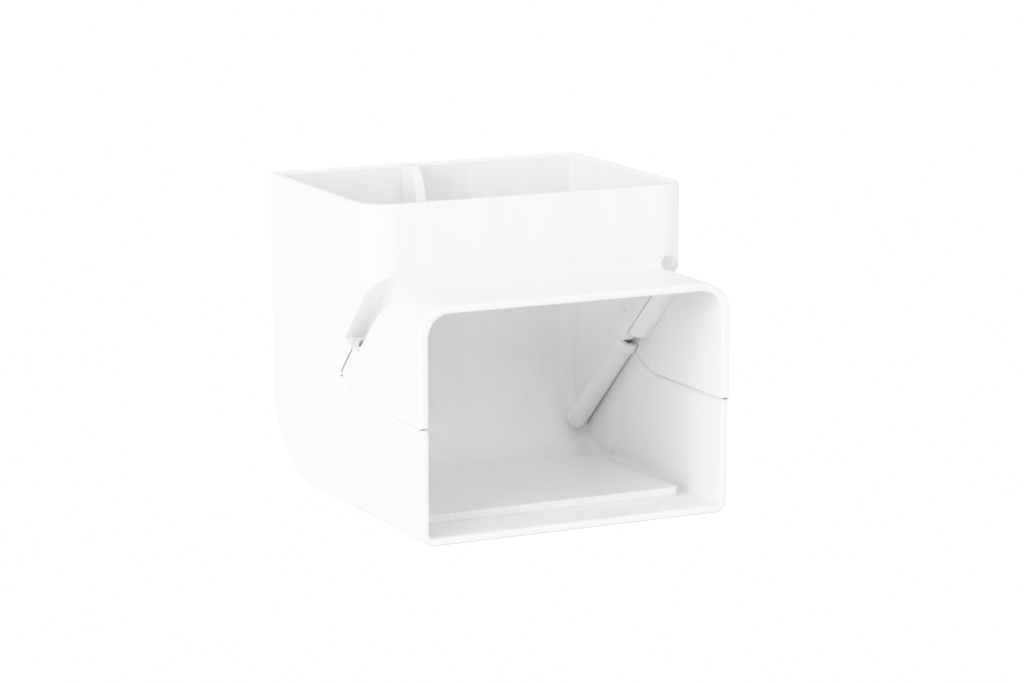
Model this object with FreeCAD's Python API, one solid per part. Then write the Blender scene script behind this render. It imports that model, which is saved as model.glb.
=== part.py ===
import FreeCAD, Part
import math
import os

V = FreeCAD.Vector

# A right-angle bend for a flat wall trunking, in two mouldings that clamp together.
# The front leg is the plug end and points to -Y. The upright leg is the socket end and
# opens to +Z. The origin is on the floor, under the middle of the bounding box.
# In the side view, a place is (distance behind the socket's front wall, height), so the
# leg's front edge is at a distance of -LEG_PROJECTION.

# Socket end: the trunking slides down into it.
TRUNKING_WIDTH = 90.0
TRUNKING_DEPTH = 65.0
SOCKET_CLEARANCE = 0.5
WALL = 2.2
SOCKET_FRONT_R = 9.0
SOCKET_BACK_R = 3.3

# Plug end: the leg that points forward, narrower than the socket.
LEG_WIDTH = 89.4
LEG_HEIGHT = 62.8
LEG_TOP_R = 8.3
LEG_FLOOR_R = 3.3
TOTAL_DEPTH = 97.9
TOTAL_HEIGHT = 85.0
BEND_R = 27.0
HEEL_INNER_R = 5.2
CROTCH_R = 2.4

# The front cover stands a little proud of the body outside and is flush inside.
COVER_PROUD = 0.5
BAND_PROUD = 0.25
SEAM_GAP = 0.15
CROTCH_GAP = 0.02
CROTCH_LIP = 0.6

# Behind the seam each side wall leans out until it is as wide as the socket.
# LOWER is the wall of the bend. UPPER is the wall above the step that follows the seam.
# Each is (widening at distance 0 on the floor, more per mm back, more per mm up).
LOWER_LEAN = (-2.5795, 0.0662, 0.0429)
UPPER_LEAN = (-2.85625, 0.0125, 0.0980)
STEP_BAND = 1.3
STEP_TAIL = [(35.0, 44.5), (39.5, 50.5), (46.0, 60.0)]

# Seam between body and cover.
SEAM_Z = 31.1
SEAM_FLAT_END = 11.5
SEAM_RISE = (19.0, 33.6)
TAB_TIP = (24.7, 36.8)
TAB_LEAN = (0.7, 0.26)
TAB_ROUND = 1.5
SEAM_BEVEL = (1.1, 1.5)

# Screw channels: one on each side, down the diagonal.
# CHANNEL_DROP is how far the screw's line is below the leg's roof where the socket starts.
CHANNEL_R = 3.1
CHANNEL_FLARE = 0.05
FLOOR_ROUND = 0.93
CHANNEL_WALL = 1.6
CHANNEL_ANGLE = 42.5
CHANNEL_DROP = 2.8
CHANNEL_INSET = 3.5
CHANNEL_FOOT = 16.6
SLEEVE_FLOOR = 4.3
COVER_SLEEVE_FLOOR = 1.1
SCREW_HOLE_R = 1.9
BOSS_R = 2.9
BOSS_WEB = 1.2
BOSS_BORE_R = 1.25
BOSS_BORE_DEPTH = 16.0
BOSS_GAP = 1.6
BOSS_LENGTH = 33.0
COLLAR_R = 3.5
COLLAR_RECESS_R = 2.5
COLLAR_RECESS = 1.2
COLLAR_LENGTH = 3.0

# The cover's edge along the channel, and the notched head of the tab.
EDGE_BELOW_LINE = 2.4
TAB_HEAD = [(11.9, 45.8), (15.9, 44.9), (18.7, 42.2)]
NOTCH_PLACE = (12.7, 46.0)
NOTCH_R = 1.9
NOTCH_DEPTH = 3.6

# Raised pad on the floor. It is a wedge that fades out where the bend starts.
PAD_RISE = 2.3
PAD_END_RISE = 0.3
PAD_SETBACK = 15.0
PAD_LENGTH = 55.0
PAD_SIDE_GAP = 4.5
PAD_CORNER_R = 1.5

# Fin down the socket's back wall, a little to one side of the middle.
FIN_X = -6.3
FIN_THICK = 3.0
FIN_DEPTH = 11.0
FIN_FOOT_Z = 20.0
FIN_LEAD = 16.0
FIN_HEAD_DROP = 0.2

RIM_CHAMFER = 0.8
RIM_ROUND = 0.6
LIP_ROUND = 0.9

# Sizes and places that follow from the ones above.
SOCKET_WIDTH = TRUNKING_WIDTH + 2 * (SOCKET_CLEARANCE + WALL)
SOCKET_DEPTH = TRUNKING_DEPTH + 2 * (SOCKET_CLEARANCE + WALL)
LEG_PROJECTION = TOTAL_DEPTH - SOCKET_DEPTH
FRONT_Y = -TOTAL_DEPTH / 2
BACK_Y = TOTAL_DEPTH / 2
SOCKET_FRONT_Y = FRONT_Y + LEG_PROJECTION
CHANNEL_X = LEG_WIDTH / 2 - CHANNEL_INSET
CROTCH_Z = LEG_HEIGHT + CROTCH_R
CHANNEL_Z = LEG_HEIGHT - CHANNEL_DROP
SLEEVE_END = CHANNEL_FOOT + SLEEVE_FLOOR
COVER_SLEEVE_END = CHANNEL_FOOT + COVER_SLEEVE_FLOOR
BOSS_HEAD = SLEEVE_END + BOSS_GAP
BOSS_FOOT = BOSS_HEAD + BOSS_LENGTH
OVERRUN = 20.0
AHEAD = -LEG_PROJECTION - OVERRUN
SLOT_MARGIN = 5.0
BEND_OVERLAP = 5.0
BEVEL_OVERLAP = 0.3
FAR = 100.0


def at(place, x=0.0):
    """The point at a side-view place, at the given X."""
    return V(x, SOCKET_FRONT_Y + place[0], place[1])


def side_prism(places, half_width):
    """A polygon of the side view, carried across the bend."""
    wire = Part.makePolygon([at(place, -half_width) for place in places + places[:1]])
    return Part.Face(wire).extrude(V(2 * half_width, 0, 0))


def straight_edges(shape, direction, keep):
    """The straight edges along a direction whose middle point passes the test."""
    found = []
    for edge in shape.Edges:
        if edge.Curve.TypeId == "Part::GeomLine":
            parallel = abs(abs(edge.Curve.Direction.dot(direction)) - 1) < 1e-6
            if parallel and keep(edge.BoundBox.Center):
                found.append(edge)
    return found


def leg_block(side, roof_z, floor_z, inset, start, length):
    """The leg as a solid box with large roof corners and small floor corners."""
    box = Part.makeBox(2 * side, length, roof_z - floor_z, V(-side, FRONT_Y + start, floor_z))
    roof = straight_edges(box, V(0, 1, 0), lambda c: c.z > roof_z - 0.01)
    box = box.makeFillet(LEG_TOP_R - inset, roof)
    floor = straight_edges(box, V(0, 1, 0), lambda c: c.z < floor_z + 0.01)
    return box.makeFillet(LEG_FLOOR_R - inset, floor)


def socket_block(inset, foot_z, head_z):
    """The upright socket as a solid box with large front and small back corners."""
    side = SOCKET_WIDTH / 2 - inset
    depth = SOCKET_DEPTH - 2 * inset
    corner = V(-side, SOCKET_FRONT_Y + inset, foot_z)
    box = Part.makeBox(2 * side, depth, head_z - foot_z, corner)
    front = straight_edges(box, V(0, 0, 1), lambda c: c.y < 0.5 * (SOCKET_FRONT_Y + BACK_Y))
    box = box.makeFillet(SOCKET_FRONT_R - inset, front)
    back = straight_edges(box, V(0, 0, 1), lambda c: c.y > BACK_Y - inset - 0.01)
    return box.makeFillet(SOCKET_BACK_R - inset, back)


def on_channel(distance, below=0.0):
    """The side-view place on the screw's line, or on a line some way below it."""
    a = math.radians(CHANNEL_ANGLE)
    height = CHANNEL_Z - distance * math.tan(a) - below / math.cos(a)
    return (distance, height)


def seam_step():
    """Side view of the step on the body: just below the seam, then up behind the tab."""
    return [
        (AHEAD, SEAM_Z - STEP_BAND),
        (SEAM_FLAT_END, SEAM_Z - STEP_BAND),
        (SEAM_RISE[0] + 0.4 * STEP_BAND, SEAM_RISE[1] - STEP_BAND),
        (TAB_TIP[0] + 0.6 * STEP_BAND, TAB_TIP[1] - STEP_BAND),
    ] + STEP_TAIL


def drawn_in(places, inset):
    """A side-view region, drawn in by the wall for the hollow, as a wide prism."""
    solid = side_prism(places, SOCKET_WIDTH)
    if inset == 0:
        return solid
    side = [f for f in solid.Faces if f.BoundBox.XMax < 0][0]
    return side.makeOffset2D(-inset, join=2).extrude(V(2 * SOCKET_WIDTH, 0, 0))


def socket_region(inset):
    """Everything above the step: the socket and the shoulders beside the tabs."""
    back = SOCKET_DEPTH + OVERRUN
    head = TOTAL_HEIGHT + OVERRUN
    places = [(-OVERRUN, head), (-OVERRUN, CHANNEL_Z),
              on_channel(0.0), on_channel(CHANNEL_FOOT, 2 * EDGE_BELOW_LINE),
              (TAB_TIP[0] - EDGE_BELOW_LINE, TAB_TIP[1] - WALL / 4)]
    places += seam_step()[3:]
    places += [(back, STEP_TAIL[-1][1]), (back, head)]
    return drawn_in(places, inset)


def bend_region(inset):
    """Everything below the step and behind the leg."""
    back = SOCKET_DEPTH + OVERRUN
    places = [(SEAM_FLAT_END, -OVERRUN), (back, -OVERRUN), (back, STEP_TAIL[-1][1] + 2 * inset)]
    places += [(d, z + 2 * inset) for d, z in reversed(seam_step()[1:])]
    wire = Part.makePolygon([at(place, -SOCKET_WIDTH) for place in places + places[:1]])
    return Part.Face(wire).extrude(V(2 * SOCKET_WIDTH, 0, 0))


def bend_block(inset):
    """The bend and the lower back: full width, then trimmed by the leaning side walls."""
    start = SEAM_FLAT_END - BEND_OVERLAP
    side = SOCKET_WIDTH / 2 - inset
    depth = SOCKET_DEPTH - inset - start
    top = STEP_TAIL[-1][1] + 2 * WALL
    block = Part.makeBox(2 * side, depth, top - inset, V(-side, SOCKET_FRONT_Y + start, inset))
    heel = straight_edges(block, V(1, 0, 0), lambda c: c.z < inset + 0.01 and c.y > 0)
    block = block.makeFillet(BEND_R - inset, heel)
    rim = [e for e in block.Edges if on_heel_line(e, side, inset, start)]
    block = block.makeFillet(HEEL_INNER_R if inset else SOCKET_BACK_R, rim)
    for sign in (-1, 1):
        block = block.cut(beyond_leaning_side(sign, inset, LOWER_LEAN))
    return block.common(bend_region(inset))


def on_heel_line(edge, side, inset, start):
    """True for the edges that run along the floor, round the bend and up the back."""
    box = edge.BoundBox
    on_side = abs(abs(box.Center.x) - side) < 0.01 and box.XLength < 0.01
    low = box.ZMin < inset + 0.01 and box.YLength > 1.0
    behind = box.YMax > BACK_Y - inset - 0.01 and box.ZLength > 1.0
    return on_side and (low or behind)


def beyond_leaning_side(sign, inset, lean):
    """All the space outside one leaning side wall."""
    corners = []
    low, high = AHEAD - OVERRUN, 2 * TOTAL_DEPTH + OVERRUN
    for distance, height in ((low, low), (high, low), (high, high), (low, high)):
        widening = lean[0] + lean[1] * distance + lean[2] * height
        side = LEG_WIDTH / 2 - inset + widening
        corners.append(at((distance, height), sign * side))
    face = Part.Face(Part.makePolygon(corners + corners[:1]))
    return face.extrude(V(sign * FAR, 0, 0))


def lean_at_tab():
    """The lean that brings the body flush with the cover behind the tab."""
    start, slope = TAB_LEAN
    back, up = slope * math.sqrt(0.5), slope * math.sqrt(0.5)
    return (start - back * TAB_HEAD[2][0] - up * TAB_HEAD[2][1], back, up)


def seam_band():
    """The narrow band under the seam that stands as proud as the cover."""
    top = SEAM_Z + 2 * WALL
    front = LIP_ROUND - LEG_PROJECTION
    places = [(front, top), (front, SEAM_Z - STEP_BAND)] + seam_step()[1:4]
    places += [(TAB_TIP[0], top)]
    plate = side_prism(places, LEG_WIDTH / 2 + BAND_PROUD)
    inner = side_prism(places, LEG_WIDTH / 2 - WALL / 2)
    return plate.cut(inner)


def solid_form(inset):
    """The body's form: leg, bend and socket. With an inset, the hollow inside it."""
    over = OVERRUN if inset else 0.0
    leg = leg_block(LEG_WIDTH / 2 - inset, LEG_HEIGHT - inset, inset, inset, -over,
                    LEG_PROJECTION + SOCKET_DEPTH / 2 + over)
    socket = socket_block(inset, inset + 1, TOTAL_HEIGHT + over).common(socket_region(inset))
    for sign in (-1, 1):
        socket = socket.cut(beyond_leaning_side(sign, inset, UPPER_LEAN))
        socket = socket.cut(beyond_leaning_side(sign, inset, lean_at_tab()))
    return leg.fuse([bend_block(inset), socket]).removeSplitter()


def channel_axis(sign):
    """Start point and direction of the screw's line, running down and back."""
    a = math.radians(CHANNEL_ANGLE)
    return at(on_channel(0.0), sign * CHANNEL_X), V(0, math.cos(a), -math.sin(a))


def rod(sign, radius, start, end):
    """A cylinder on the screw's line between two distances behind the socket's front wall."""
    origin, direction = channel_axis(sign)
    scale = 1 / direction.y
    base = origin + direction * (start * scale)
    return Part.makeCylinder(radius, (end - start) * scale, base, direction)


def slot(sign, radius, start, end, flare=0.0):
    """A groove with a rounded floor and an open side. It may grow wider upwards from the foot."""
    origin, direction = channel_axis(sign)
    upward = V(0, -direction.z, direction.y)
    floor = V(-sign * radius, 0, 0)
    points = []
    for distance in (start, end):
        centre = origin + floor + direction * (distance / direction.y)
        grown = flare * (CHANNEL_FOOT - distance) / direction.y
        points.append((centre - upward * radius, centre + upward * (radius + grown)))
    (low, high), (low_end, high_end) = points
    wire = Part.makePolygon([low, high, high_end, low_end, low])
    block = Part.Face(wire).extrude(V(sign * (OVERRUN + radius), 0, 0))
    lines = ((low + low_end) * 0.5, (high + high_end) * 0.5)
    floor_edges = [e for e in block.Edges
                   if min(e.BoundBox.Center.distanceToPoint(p) for p in lines) < 0.01]
    return block.makeFillet(radius * FLOOR_ROUND, floor_edges)


def groove(sign):
    """The open groove that the screw is driven down, from ahead of the leg to its foot."""
    start = -SLOT_MARGIN - LEG_PROJECTION
    return slot(sign, CHANNEL_R, start, CHANNEL_FOOT, CHANNEL_FLARE)


def cover_region():
    """Side view of what belongs to the cover, from the seam up to the socket's foot."""
    return [
        (AHEAD, SEAM_Z),
        (SEAM_FLAT_END, SEAM_Z),
        SEAM_RISE,
        TAB_TIP,
    ] + TAB_HEAD[::-1] + [
        on_channel(TAB_HEAD[0][0], EDGE_BELOW_LINE),
        on_channel(-CROTCH_GAP, EDGE_BELOW_LINE),
        (-CROTCH_GAP, CROTCH_Z - CROTCH_LIP),
        (AHEAD, CROTCH_Z - CROTCH_LIP),
    ]


def region_solid(gap):
    """The cover's region as a solid. With a gap, a little larger on every side."""
    wire = Part.makePolygon([at(p, -SOCKET_WIDTH) for p in cover_region() + cover_region()[:1]])
    face = Part.Face(wire)
    solid = face.extrude(V(2 * SOCKET_WIDTH, 0, 0))
    bends = straight_edges(solid, V(1, 0, 0), near_tab)
    solid = solid.makeFillet(TAB_ROUND, bends)
    if gap == 0:
        return solid
    side = [f for f in solid.Faces if f.BoundBox.XLength < 0.01 and f.BoundBox.XMin < 0][0]
    larger = side.makeOffset2D(gap, join=0).extrude(V(2 * SOCKET_WIDTH, 0, 0))
    foot = V(-SOCKET_WIDTH, SOCKET_FRONT_Y, on_channel(0.0, EDGE_BELOW_LINE)[1] + gap)
    return larger.cut(Part.makeBox(2 * SOCKET_WIDTH, WALL, TOTAL_HEIGHT, foot))


def near_tab(centre):
    """True for the seam's corners at the foot of the tab."""
    for place in ((SEAM_FLAT_END, SEAM_Z), TAB_TIP):
        if abs(centre.y - SOCKET_FRONT_Y - place[0]) < 0.01 and abs(centre.z - place[1]) < 0.01:
            return True
    return False


def ease(shape, name, edges, radius, bevel=False):
    """Rounds or bevels a set of edges, and says so if the form won't take it."""
    try:
        eased = shape.makeChamfer(radius, edges) if bevel else shape.makeFillet(radius, edges)
    except Exception as problem:
        print("not eased:", name, problem)
        return shape
    if not eased.isValid() or len(eased.Solids) != 1:
        print("not eased:", name, "invalid")
        return shape
    return eased


def front_edges(shape):
    """The edges that lie in the plane of the front opening."""
    flat = [e for e in shape.Edges if e.BoundBox.YLength < 0.01]
    return [e for e in flat if e.BoundBox.YMax < FRONT_Y + 0.01]


def rim_edges(shape, outer):
    """The outer or inner edges of the socket's rim."""
    flat = [e for e in shape.Edges if e.BoundBox.ZLength < 0.01]
    top = [e for e in flat if e.BoundBox.ZMin > TOTAL_HEIGHT - 0.01]
    inside_side = SOCKET_WIDTH / 2 - WALL + 0.1
    inside_back = BACK_Y - WALL + 0.1
    inside_front = SOCKET_FRONT_Y + WALL - 0.1
    found = []
    for edge in top:
        box = edge.BoundBox
        inside = (abs(box.XMin) < inside_side and abs(box.XMax) < inside_side
                  and box.YMax < inside_back and box.YMin > inside_front)
        if inside != outer:
            found.append(edge)
    return found


def above_cover_edge(gap):
    """Everything behind the line of the cover's edge, less a gap from it."""
    edge = EDGE_BELOW_LINE - gap
    places = [on_channel(AHEAD, edge), on_channel(SOCKET_DEPTH, edge),
              (SOCKET_DEPTH, 3 * TOTAL_HEIGHT), (AHEAD, 3 * TOTAL_HEIGHT)]
    return side_prism(places, SOCKET_WIDTH)


def between_walls(gap):
    """Everything under the leg's roof and between its side walls, less a gap from them."""
    inner = LEG_WIDTH / 2 - WALL - gap
    height = OVERRUN + LEG_HEIGHT - WALL - gap
    return Part.makeBox(2 * inner, 2 * TOTAL_DEPTH, height, V(-inner, -TOTAL_DEPTH, -OVERRUN))


def sleeve(sign, grown):
    """The wall round the channel and under its foot, as the body carries it."""
    radius = CHANNEL_R + CHANNEL_WALL + grown
    tube = slot(sign, radius, SLOT_MARGIN - LEG_PROJECTION, SLEEVE_END + grown, CHANNEL_FLARE)
    return tube.common(above_cover_edge(SEAM_GAP - grown))


def screw_parts(hollow):
    """What stands inside the body: the sleeves, and the bosses with collars and webs."""
    cover_space = region_solid(SEAM_GAP).cut(between_walls(SEAM_GAP))
    found = []
    for sign in (-1, 1):
        boss = rod(sign, BOSS_R, BOSS_HEAD, BOSS_FOOT)
        boss = boss.fuse(slot(sign, BOSS_WEB, BOSS_HEAD + COLLAR_LENGTH, BOSS_FOOT))
        boss = boss.fuse(rod(sign, COLLAR_R, BOSS_HEAD, BOSS_HEAD + COLLAR_LENGTH))
        for piece in (boss, sleeve(sign, 0.0)):
            found.append(piece.common(hollow).cut(cover_space))
    return found


def side_band(gap):
    """Everything between the cover's two sides."""
    side = LEG_WIDTH / 2 + COVER_PROUD + gap
    return Part.makeBox(2 * side, 2 * TOTAL_DEPTH, 2 * TOTAL_HEIGHT,
                        V(-side, -TOTAL_DEPTH, -OVERRUN))


def seam_bevel(sign):
    """The wedge cut off the body's inner edge, straight stretch by straight stretch."""
    across, down = SEAM_BEVEL
    inner = LEG_WIDTH / 2 - WALL
    chain = [(AHEAD, SEAM_Z), (SEAM_FLAT_END, SEAM_Z), SEAM_RISE, TAB_TIP]
    wedges = []
    for start, end in zip(chain, chain[1:]):
        along = V(0, end[0] - start[0], end[1] - start[1])
        below = V(0, along.z, -along.y).normalize()
        overlap = V(along).normalize() * BEVEL_OVERLAP
        corners = [at(start, sign * (inner + across)) - below * SEAM_GAP,
                   at(start, sign * (inner - 1)) - below * SEAM_GAP,
                   at(start, sign * (inner - 1)) + below * (down + down / across)]
        corners = [corner - overlap for corner in corners]
        face = Part.Face(Part.makePolygon(corners + corners[:1]))
        wedges.append(face.extrude(along + overlap * 2))
    return wedges[0].fuse(wedges[1:])


def bend_body():
    shell = solid_form(0.0)
    hollow = solid_form(WALL)
    shell = shell.cut(hollow)
    shell = ease(shell, "rim outside", rim_edges(shell, True), RIM_ROUND)
    shell = ease(shell, "rim inside", rim_edges(shell, False), RIM_CHAMFER, bevel=True)
    shell = ease(shell, "front", front_edges(shell), LIP_ROUND)
    shell = shell.fuse([floor_pad(), back_fin(), seam_band()]).removeSplitter()
    shell = shell.cut(region_solid(SEAM_GAP).common(side_band(SEAM_GAP)))
    shell = shell.cut([seam_bevel(-1), seam_bevel(1)])
    shell = shell.fuse(screw_parts(hollow))
    for sign in (-1, 1):
        shell = shell.cut(groove(sign))
        shell = shell.cut(rod(sign, SCREW_HOLE_R, CHANNEL_FOOT - WALL, BOSS_HEAD))
        shell = shell.cut(rod(sign, BOSS_BORE_R, BOSS_HEAD - WALL, BOSS_HEAD + BOSS_BORE_DEPTH))
        shell = shell.cut(rod(sign, COLLAR_RECESS_R, BOSS_HEAD - WALL, BOSS_HEAD + COLLAR_RECESS))
    return shell.removeSplitter()


def crotch():
    """The hollow round where the leg's roof turns up into the socket's front wall."""
    half = CHANNEL_X
    low = LEG_HEIGHT - WALL / 2
    block = Part.makeBox(2 * half, CROTCH_R, CROTCH_Z - low,
                         V(-half, SOCKET_FRONT_Y - CROTCH_R, low))
    round_bar = Part.makeCylinder(CROTCH_R, 2 * half + 2,
                                  V(-half - 1, SOCKET_FRONT_Y - CROTCH_R, CROTCH_Z), V(1, 0, 0))
    return block.cut(round_bar)


def channel_in_cover(sign):
    """The part of the channel's space that the cover leaves open."""
    across = 2 * SOCKET_WIDTH
    start, end = TAB_HEAD[0], TAB_HEAD[1]
    slope = (end[1] - start[1]) / (end[0] - start[0])
    level = [(AHEAD, start[1] + slope * (AHEAD - start[0])),
             (SOCKET_DEPTH, start[1] + slope * (SOCKET_DEPTH - start[0])),
             (SOCKET_DEPTH, 2 * TOTAL_HEIGHT), (AHEAD, 2 * TOTAL_HEIGHT)]
    return groove(sign).common(side_prism(level, across))


def front_cover():
    side = LEG_WIDTH / 2 + COVER_PROUD
    length = LEG_PROJECTION + TAB_TIP[0] + WALL
    outer = leg_block(side, LEG_HEIGHT, 0.0, 0.0, 0.0, length)
    outer = outer.fuse(crotch()).removeSplitter()
    inner = leg_block(LEG_WIDTH / 2 - WALL, LEG_HEIGHT - WALL, WALL, WALL,
                      -OVERRUN, length + 2 * OVERRUN)
    for sign in (-1, 1):
        inner = inner.cut(slot(sign, CHANNEL_R + CHANNEL_WALL, SLOT_MARGIN - LEG_PROJECTION,
                               COVER_SLEEVE_END))
    shell = outer.cut(inner)
    for sign in (-1, 1):
        shell = shell.cut(channel_in_cover(sign))
        shell = shell.cut(sleeve(sign, SEAM_GAP).common(between_walls(-SEAM_GAP)))
        edge = sign * (LEG_WIDTH / 2 + OVERRUN)
        reach = OVERRUN + NOTCH_DEPTH
        notch = Part.makeCylinder(NOTCH_R, reach, at(NOTCH_PLACE, edge), V(-sign, 0, 0))
        shell = shell.cut(notch)
    cover = shell.common(region_solid(0.0).common(side_band(0.0))).removeSplitter()
    return ease(cover, "cover front", front_edges(cover), LIP_ROUND)


def floor_pad():
    """The raised pad, sunk a little into the floor so that it joins."""
    front = PAD_SETBACK - LEG_PROJECTION
    back = front + PAD_LENGTH
    outline = [(front, WALL / 2), (front, WALL + PAD_RISE),
               (back, WALL + PAD_END_RISE), (back, WALL / 2)]
    pad = side_prism(outline, LEG_WIDTH / 2 - WALL - PAD_SIDE_GAP)
    corners = straight_edges(pad, V(0, 0, 1), lambda c: c.y < FRONT_Y + PAD_SETBACK + 1)
    return pad.makeFillet(PAD_CORNER_R, corners)


def back_fin():
    """The fin: its free edge curves back to the wall below the rim."""
    left = FIN_X - FIN_THICK / 2
    root = SOCKET_DEPTH - WALL / 2
    edge = SOCKET_DEPTH - WALL - FIN_DEPTH
    head = TOTAL_HEIGHT - FIN_HEAD_DROP
    lead = head - FIN_LEAD
    top_edge = edge + 0.55 * FIN_DEPTH
    mid = (edge + 0.14 * FIN_DEPTH, head - 0.45 * FIN_LEAD)
    foot = [(edge, FIN_FOOT_Z + FIN_DEPTH), (root, FIN_FOOT_Z)]
    lines = [
        Part.makeLine(at((root, head), left), at((top_edge, head), left)),
        Part.Arc(at((top_edge, head), left), at(mid, left),
                 at((edge, lead), left)).toShape(),
        Part.makeLine(at((edge, lead), left), at(foot[0], left)),
        Part.makeLine(at(foot[0], left), at(foot[1], left)),
        Part.makeLine(at(foot[1], left), at((root, head), left)),
    ]
    fin = Part.Face(Part.Wire(lines)).extrude(V(FIN_THICK, 0, 0))
    return fin


def check(name, shape):
    print(name, "solids", len(shape.Solids), "valid", shape.isValid(),
          "volume", round(shape.Volume), shape.BoundBox)


os.makedirs("parts", exist_ok=True)
pieces = {"bend_body": bend_body(), "front_cover": front_cover()}
for name, shape in pieces.items():
    check(name, shape)
    shape.exportStep("parts/" + name + ".step")
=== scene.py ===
# %% [markdown]
# # A white duct bend
# This lesson dresses one moulded part: a right-angle bend for flat wall trunking. It is two
# thin-walled mouldings, a body and a front cover, that clamp together with two screws.
# The shapes come from the CAD model, which is loaded first and never moved. One soft skin
# over the step in each side wall is added to it, in a whiter plastic as a painted highlight.

# %% Load the CAD model
import math

import bmesh
import bpy
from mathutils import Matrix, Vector


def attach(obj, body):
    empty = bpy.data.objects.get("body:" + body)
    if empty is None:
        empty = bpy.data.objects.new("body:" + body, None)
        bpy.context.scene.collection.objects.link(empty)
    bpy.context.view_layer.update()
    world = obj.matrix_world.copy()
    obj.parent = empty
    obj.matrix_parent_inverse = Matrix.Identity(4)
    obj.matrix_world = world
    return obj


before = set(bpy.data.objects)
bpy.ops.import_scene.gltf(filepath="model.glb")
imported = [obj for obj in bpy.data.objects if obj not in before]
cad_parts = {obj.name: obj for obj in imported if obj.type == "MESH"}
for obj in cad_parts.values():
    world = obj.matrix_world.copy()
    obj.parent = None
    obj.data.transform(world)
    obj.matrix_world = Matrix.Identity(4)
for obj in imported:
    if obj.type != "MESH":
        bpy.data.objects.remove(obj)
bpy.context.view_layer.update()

MM = 0.001
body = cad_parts["bend_body"]
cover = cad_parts["front_cover"]

# %% [markdown]
# ## The camera
# A long lens from about 0.9 m keeps the verticals almost parallel, as catalogue pictures of
# small fittings do. Its place was worked out from the straight edges of the part.

# %% Place the camera
LENS_MM = 116.8
SENSOR_MM = 36.0
camera_place = Vector((-0.3802, -0.8027, 0.2175))
view_line = Vector((0.42368, 0.88474, -0.19423))

camera_data = bpy.data.cameras.new("studio_camera")
camera_data.lens = LENS_MM
camera_data.sensor_width = SENSOR_MM
camera = bpy.data.objects.new("studio_camera", camera_data)
camera.location = camera_place
camera.rotation_mode = "QUATERNION"
camera.rotation_quaternion = view_line.to_track_quat("-Z", "Y")
bpy.context.scene.collection.objects.link(camera)
bpy.context.scene.camera = camera
print("camera", LENS_MM, "mm lens,", round(camera_place.length, 2), "m away")

# %% [markdown]
# ## The studio
# White plastic on white needs a bright room with a little direction in it. The room lights
# everything evenly. A large panel on the left makes the left faces and the upright corner
# brighter than the front, and reaches into both openings. Weaker panels fill the front, the
# top and the low left. The camera sees the room brighter than it is, so the backdrop is pure white.

# %% Light the room
ROOM_LIGHT = 0.78
BACKDROP_LIGHT = 1.5

scene = bpy.context.scene
world = bpy.data.worlds.new("studio_room")
world.use_nodes = True
scene.world = world
room = world.node_tree.nodes["Background"]
room.inputs["Color"].default_value = (1.0, 1.0, 1.0, 1.0)
seen = world.node_tree.nodes.new("ShaderNodeLightPath")
level = world.node_tree.nodes.new("ShaderNodeMapRange")
level.inputs["To Min"].default_value = ROOM_LIGHT
level.inputs["To Max"].default_value = BACKDROP_LIGHT
world.node_tree.links.new(seen.outputs["Is Camera Ray"], level.inputs["Value"])
world.node_tree.links.new(level.outputs["Result"], room.inputs["Strength"])


def add_panel(name, place, aim, size, power):
    """A square soft light that looks at a point."""
    data = bpy.data.lights.new(name, "AREA")
    data.shape = "SQUARE"
    data.size = size
    data.energy = power
    panel = bpy.data.objects.new(name, data)
    panel.location = place
    panel.rotation_mode = "QUATERNION"
    panel.rotation_quaternion = (Vector(aim) - Vector(place)).to_track_quat("-Z", "Y")
    scene.collection.objects.link(panel)
    return panel


middle = (0, 0, 0.04)
add_panel("left_panel", (-1.13, -0.5, 0.42), middle, 0.7, 4.7)
add_panel("low_panel", (-1.2, -0.4, 0.12), middle, 0.5, 1.5)
add_panel("high_panel", (-0.75, -0.35, 1.05), middle, 0.8, 1.5)
add_panel("front_panel", (0.1, -1.4, 0.5), middle, 0.8, 2.2)
add_panel("top_panel", (0.9, -0.2, 1.0), middle, 0.8, 1.3)

# %% [markdown]
# ## The tone curve
# A product photographer's file keeps detail in bright whites: the tones run straight up to a
# point and then bend over softly, so a lit face stays just below paper white. The curve is
# worked out from one number, where the bend starts.

# %% Bend the bright tones over
BEND_STARTS = 0.8


def shoulder(light):
    """The tone for an amount of light, both in linear values. The backdrop is white."""
    room_left = 1 - BEND_STARTS
    over = max(light - BEND_STARTS, 0) / room_left
    whole = 1 - math.exp(-(BACKDROP_LIGHT - BEND_STARTS) / room_left)
    return min(min(light, BEND_STARTS) + room_left * (1 - math.exp(-over)) / whole, 1.0)


scene.view_settings.view_transform = "Standard"
scene.view_settings.use_curve_mapping = True
mapping = scene.view_settings.curve_mapping
mapping.clip_max_x = 2.0
mapping.clip_max_y = 1.0
tone = mapping.curves[3]
tone.points[1].location = (2.0, 1.0)
for light in (0.3, 0.6, 0.78, 0.84, 0.92, 1.0, 1.1, 1.2, 1.35, 1.48, 1.6):
    tone.points.new(light, shoulder(light))
mapping.update()
print("light 1.0 becomes", round(shoulder(1.0), 3))

# %% [markdown]
# ## Colours and nodes
# Colours are written as sRGB hex, the way a paint chart gives them, and Blender wants them
# linear. One helper adds a node, sets it and links it, so a material reads as a short list.

# %% Two helpers for materials


def srgb(hex_text):
    """A colour such as F2F1EE as linear red, green, blue and full alpha."""
    parts = [int(hex_text[i:i + 2], 16) / 255 for i in (0, 2, 4)]
    linear = [p / 12.92 if p <= 0.04045 else ((p + 0.055) / 1.055) ** 2.4 for p in parts]
    return (*linear, 1.0)


def add_node(tree, kind, settings=None, values=None, links=None):
    """Adds a node with its settings, its socket values and its incoming links."""
    node = tree.nodes.new(kind)
    for key, value in (settings or {}).items():
        setattr(node, key, value)
    for key, value in (values or {}).items():
        node.inputs[key].default_value = value
    for key, source in (links or {}).items():
        tree.links.new(source, node.inputs[key])
    return node


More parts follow.
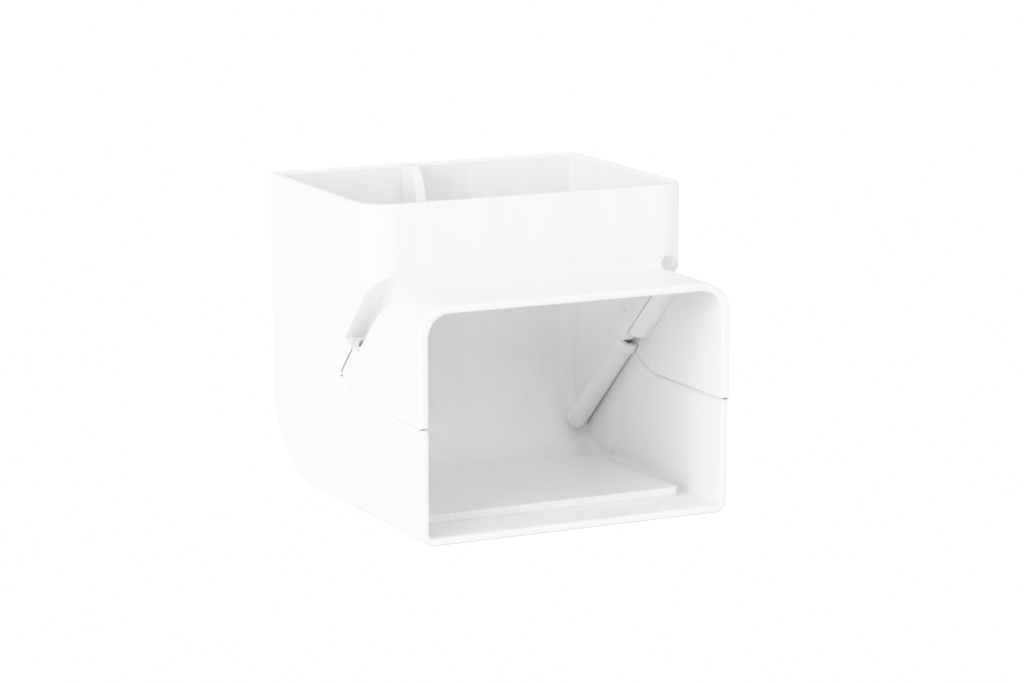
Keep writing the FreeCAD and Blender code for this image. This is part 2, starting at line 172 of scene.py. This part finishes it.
print("plastic white is", [round(v, 3) for v in srgb("F5F5F5")])

# %% [markdown]
# ## Moulded white plastic
# Trunking fittings are injection moulded in rigid PVC or ABS. The tool is polished by hand
# along the draw, so the walls keep faint upright streaks, some narrow and some broad. The
# skin has a very fine orange peel, and the gloss is a little duller where the plastic cooled
# first. Every moulded edge is slightly round. Shade is painted into the colour: it darkens
# towards grey in the seam, in tight corners and where the part touches the table.

# %% Make the plastic
EDGE_ROUND_MM = 0.45
SWEEP_HALF_WIDTH_MM = 40.5
SWEEP_STARTS_MM = 61.5
SHADE_REACH_MM = 1.2


def upright_streaks(tree, place, width_mm):
    """Noise drawn out along Z: streaks of about this width."""
    drawn = add_node(
        tree, "ShaderNodeMapping",
        values={"Scale": (1 / (width_mm * MM), 1 / (width_mm * MM), 0.01 / (width_mm * MM))},
        links={"Vector": place.outputs["Object"]})
    return add_node(tree, "ShaderNodeTexNoise", values={"Scale": 1.0, "Detail": 1.0},
                    links={"Vector": drawn.outputs["Vector"]})


def moulded_plastic(name, light_hex, dark_hex, shade_hex):
    material = bpy.data.materials.new(name)
    material.use_nodes = True
    tree = material.node_tree
    tree.nodes.clear()
    place = add_node(tree, "ShaderNodeTexCoord")
    narrow = upright_streaks(tree, place, 1.6)
    broad = upright_streaks(tree, place, 6.0)
    peel = add_node(tree, "ShaderNodeTexNoise", values={"Scale": 1 / (0.9 * MM), "Detail": 2.0},
                    links={"Vector": place.outputs["Object"]})
    cloud = add_node(tree, "ShaderNodeTexNoise", values={"Scale": 1 / (22 * MM), "Detail": 2.0},
                     links={"Vector": place.outputs["Object"]})
    gloss = add_node(tree, "ShaderNodeMapRange",
                     values={"From Min": 0.3, "From Max": 0.7, "To Min": 0.29, "To Max": 0.37},
                     links={"Value": cloud.outputs["Fac"]})
    where = add_node(tree, "ShaderNodeSeparateXYZ", links={"Vector": place.outputs["Object"]})
    sideways = add_node(tree, "ShaderNodeMath", {"operation": "ABSOLUTE"},
                        links={0: where.outputs["X"]})
    beside = add_node(tree, "ShaderNodeMath", {"operation": "GREATER_THAN"},
                      {1: SWEEP_HALF_WIDTH_MM * MM}, {0: sideways.outputs["Value"]})
    below = add_node(tree, "ShaderNodeMath", {"operation": "LESS_THAN"},
                     {1: SWEEP_STARTS_MM * MM}, {0: where.outputs["Z"]})
    off_sweep = add_node(tree, "ShaderNodeMath", {"operation": "MAXIMUM"},
                         links={0: beside.outputs["Value"], 1: below.outputs["Value"]})
    radius = add_node(tree, "ShaderNodeMath", {"operation": "MULTIPLY"},
                      {1: EDGE_ROUND_MM * MM}, {0: off_sweep.outputs["Value"]})
    edge = add_node(tree, "ShaderNodeBevel", {"samples": 6},
                    links={"Radius": radius.outputs["Value"]})
    fine = add_node(tree, "ShaderNodeBump", values={"Strength": 0.4, "Distance": 0.003 * MM},
                    links={"Height": peel.outputs["Fac"], "Normal": edge.outputs["Normal"]})
    both = add_node(tree, "ShaderNodeMath", {"operation": "ADD"},
                    links={0: narrow.outputs["Fac"], 1: broad.outputs["Fac"]})
    tint = add_node(tree, "ShaderNodeMapRange", values={"From Min": 0.75, "From Max": 1.25},
                    links={"Value": both.outputs["Value"]})
    streaked = add_node(tree, "ShaderNodeMix", {"data_type": "RGBA"},
                        links={"Factor": tint.outputs["Result"]})
    streaked.inputs[6].default_value = srgb(dark_hex)
    streaked.inputs[7].default_value = srgb(light_hex)
    # Painted shade: where the occlusion finds a surface close by (the seam, tight corners, the
    # table), the colour is mixed towards the shade grey. The crotch sweep is left unshaded.
    occlusion = add_node(tree, "ShaderNodeAmbientOcclusion", {"samples": 6},
                       {"Distance": SHADE_REACH_MM * MM})
    open_share = add_node(tree, "ShaderNodeMapRange", values={"From Min": 0.05, "From Max": 0.4},
                        links={"Value": occlusion.outputs["AO"]})
    on_sweep = add_node(tree, "ShaderNodeMath", {"operation": "SUBTRACT"},
                        {0: 1.0}, {1: off_sweep.outputs["Value"]})
    unshaded_share = add_node(tree, "ShaderNodeMath", {"operation": "MAXIMUM"},
                        links={0: open_share.outputs["Result"], 1: on_sweep.outputs["Value"]})
    colour = add_node(tree, "ShaderNodeMix", {"data_type": "RGBA"},
                      links={"Factor": unshaded_share.outputs["Value"], 7: streaked.outputs[2]})
    colour.inputs[6].default_value = srgb(shade_hex)
    skin = add_node(tree, "ShaderNodeBsdfPrincipled", values={"IOR": 1.5},
                    links={"Base Color": colour.outputs[2], "Roughness": gloss.outputs["Result"],
                           "Normal": fine.outputs["Normal"]})
    add_node(tree, "ShaderNodeOutputMaterial", links={"Surface": skin.outputs["BSDF"]})
    return material


body_white = moulded_plastic("moulded_abs_body", "F5F5F5", "F2F2F2", "B4B4B4")
cover_white = moulded_plastic("moulded_abs_cover", "F5F5F5", "F2F2F2", "B4B4B4")
for piece, finish in ((body, body_white), (cover, cover_white)):
    piece.data.materials.clear()
    piece.data.materials.append(finish)
print("finishes", body_white.name, cover_white.name)

# %% [markdown]
# ## The rounded step
# Under the seam and behind the tab the side wall steps in. The CAD keeps that step sharp. On
# the moulding it is a soft band that catches the light, so a thin skin is laid over it. Its
# plastic is whiter than the body's, a painted highlight. Its line is given in the side view,
# and each point is found on the wall itself.

# %% Lay a soft band over the step
STEP_LINE_MM = [(-47.9, 30.1), (-10.2, 30.1), (-1.7, 31.9), (4.6, 35.2), (13.9, 43.9),
                (18.5, 50.0), (22.5, 56.5)]
BAND_HALF_MM = 0.8
BAND_STATIONS = 90
BAND_ACROSS = 6
FADE_STATIONS = 12
SMOOTH_REACH = 3
OUTSIDE_MM = 60.0
BAND_CROWN_MM = 0.06
BAND_SUNK_MM = 0.02
BAND_STEP_MM = 0.05
LEAST_WALL_MM = 40.0
WIDEST_MM = 47.6


def along(line, count):
    """Evenly spaced points on a line of straight runs, with their direction."""
    runs = [(Vector(b) - Vector(a)).length for a, b in zip(line, line[1:])]
    found = []
    for step in range(count):
        left = sum(runs) * step / (count - 1)
        index = 0
        while index < len(runs) - 1 and left > runs[index]:
            left -= runs[index]
            index += 1
        start, end = Vector(line[index]), Vector(line[index + 1])
        found.append((start + (end - start) * (left / runs[index]), (end - start).normalized()))
    return found


def smooth(values):
    """Each value replaced by the mean of its neighbourhood, with the end values repeated."""
    wide = [values[0]] * SMOOTH_REACH + values + [values[-1]] * SMOOTH_REACH
    window = 2 * SMOOTH_REACH + 1
    return [sum(wide[i:i + window], Vector((0, 0))) / window for i in range(len(values))]


def wall_at(side, y, z):
    """How far out the body's wall is at a place in the side view, in mm."""
    hit, place, _, _ = body.ray_cast((side * OUTSIDE_MM * MM, y * MM, z * MM), (-side, 0, 0))
    return abs(place.x) / MM if hit else 0.0


def top_of_band(side, middle, up):
    """How far up from its line the band can go before the wall ends at the seam."""
    height = BAND_HALF_MM
    while height > 0 and wall_at(side, *(middle + up * height)) < LEAST_WALL_MM:
        height -= BAND_STEP_MM
    return height - BAND_STEP_MM


def band_row(side, middle, way, fade):
    """The places across the band at one station, and how far out the wall is at each."""
    up = Vector((-way.y, way.x)).normalized()
    high, low = top_of_band(side, middle, up), -BAND_HALF_MM
    places = [middle + up * fade * (high + (low - high) * k / BAND_ACROSS)
              for k in range(BAND_ACROSS + 1)]
    return places, [wall_at(side, place.x, place.y) for place in places]


def crowned(walls, k, fade):
    """How far out the band is: an eased step between its edges, with a slight crown."""
    share = k / BAND_ACROSS
    eased = walls[0] + (walls[BAND_ACROSS] - walls[0]) * share * share * (3 - 2 * share)
    return max(walls[k], eased) + BAND_CROWN_MM * fade * math.sin(math.pi * share)


def step_band(name, side):
    """A thin skin along the step. Its rim is sunk just under the wall."""
    points = along(STEP_LINE_MM, BAND_STATIONS)
    middles = smooth([point for point, _ in points])
    ways = smooth([way for _, way in points])
    mesh = bmesh.new()
    rows = []
    for index, (middle, way) in enumerate(zip(middles, ways)):
        fade = min(1.0, (BAND_STATIONS - index) / FADE_STATIONS)
        places, walls = band_row(side, middle, way, fade)
        row = []
        for k, (place, wall) in enumerate(zip(places, walls)):
            at_rim = k in (0, BAND_ACROSS) or index in (0, BAND_STATIONS - 1)
            out = wall - BAND_SUNK_MM if at_rim else crowned(walls, k, fade)
            out = min(out, WIDEST_MM)
            row.append(mesh.verts.new((side * out * MM, place.x * MM, place.y * MM)))
        rows.append(row)
    for near, far in zip(rows, rows[1:]):
        for k in range(BAND_ACROSS):
            mesh.faces.new((near[k], near[k + 1], far[k + 1], far[k]))
    bmesh.ops.recalc_face_normals(mesh, faces=mesh.faces)
    data = bpy.data.meshes.new(name)
    mesh.to_mesh(data)
    mesh.free()
    data.polygons.foreach_set("use_smooth", [True] * len(data.polygons))
    band = bpy.data.objects.new(name, data)
    scene.collection.objects.link(band)
    # The band wears the whiter plastic: a painted highlight along the step.
    band.data.materials.append(highlight_white)
    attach(band, "root")
    return band


def furthest_off(band):
    """The largest distance of a band's corner from the body's surface, in mm."""
    spots = [body.closest_point_on_mesh(v.co)[1] for v in band.data.vertices]
    return max((v.co - spot).length for v, spot in zip(band.data.vertices, spots)) / MM


# Painted highlight: a whiter white than the body, so the band reads as lit.
highlight_white = moulded_plastic("moulded_abs_painted_highlight", "FDFDFD", "FBFBFB", "D8D8D8")
bands = [step_band("step_band_left", -1), step_band("step_band_right", 1)]
print("bands", [len(b.data.polygons) for b in bands], "faces, at most",
      [round(furthest_off(b), 2) for b in bands], "mm off the wall")

# %% [markdown]
# ## The table
# The part stands on a matt white table. Like the backdrop, the camera sees it as a light box,
# so almost no shadow shows on it.

# %% Lay the table
bpy.ops.object.select_all(action="DESELECT")
bpy.ops.mesh.primitive_plane_add(size=12.0, location=(0, 0, 0))
table = bpy.context.object
table.name = "table"
opal = bpy.data.materials.new("opal_acrylic_table")
opal.use_nodes = True
glow = opal.node_tree.nodes["Principled BSDF"]
glow.inputs["Base Color"].default_value = srgb("FAFAFA")
glow.inputs["Roughness"].default_value = 0.9
glow.inputs["Emission Color"].default_value = (1.0, 1.0, 1.0, 1.0)
view = add_node(opal.node_tree, "ShaderNodeLightPath")
lit = add_node(opal.node_tree, "ShaderNodeMapRange",
               values={"To Min": 0.03, "To Max": BACKDROP_LIGHT},
               links={"Value": view.outputs["Is Camera Ray"]})
opal.node_tree.links.new(lit.outputs["Result"], glow.inputs["Emission Strength"])
table.data.materials.append(opal)
print("table", table.dimensions.x, "m wide")

# %% [markdown]
# ## Finish
# The looks never change the size.

# %% Finish
print("finished")
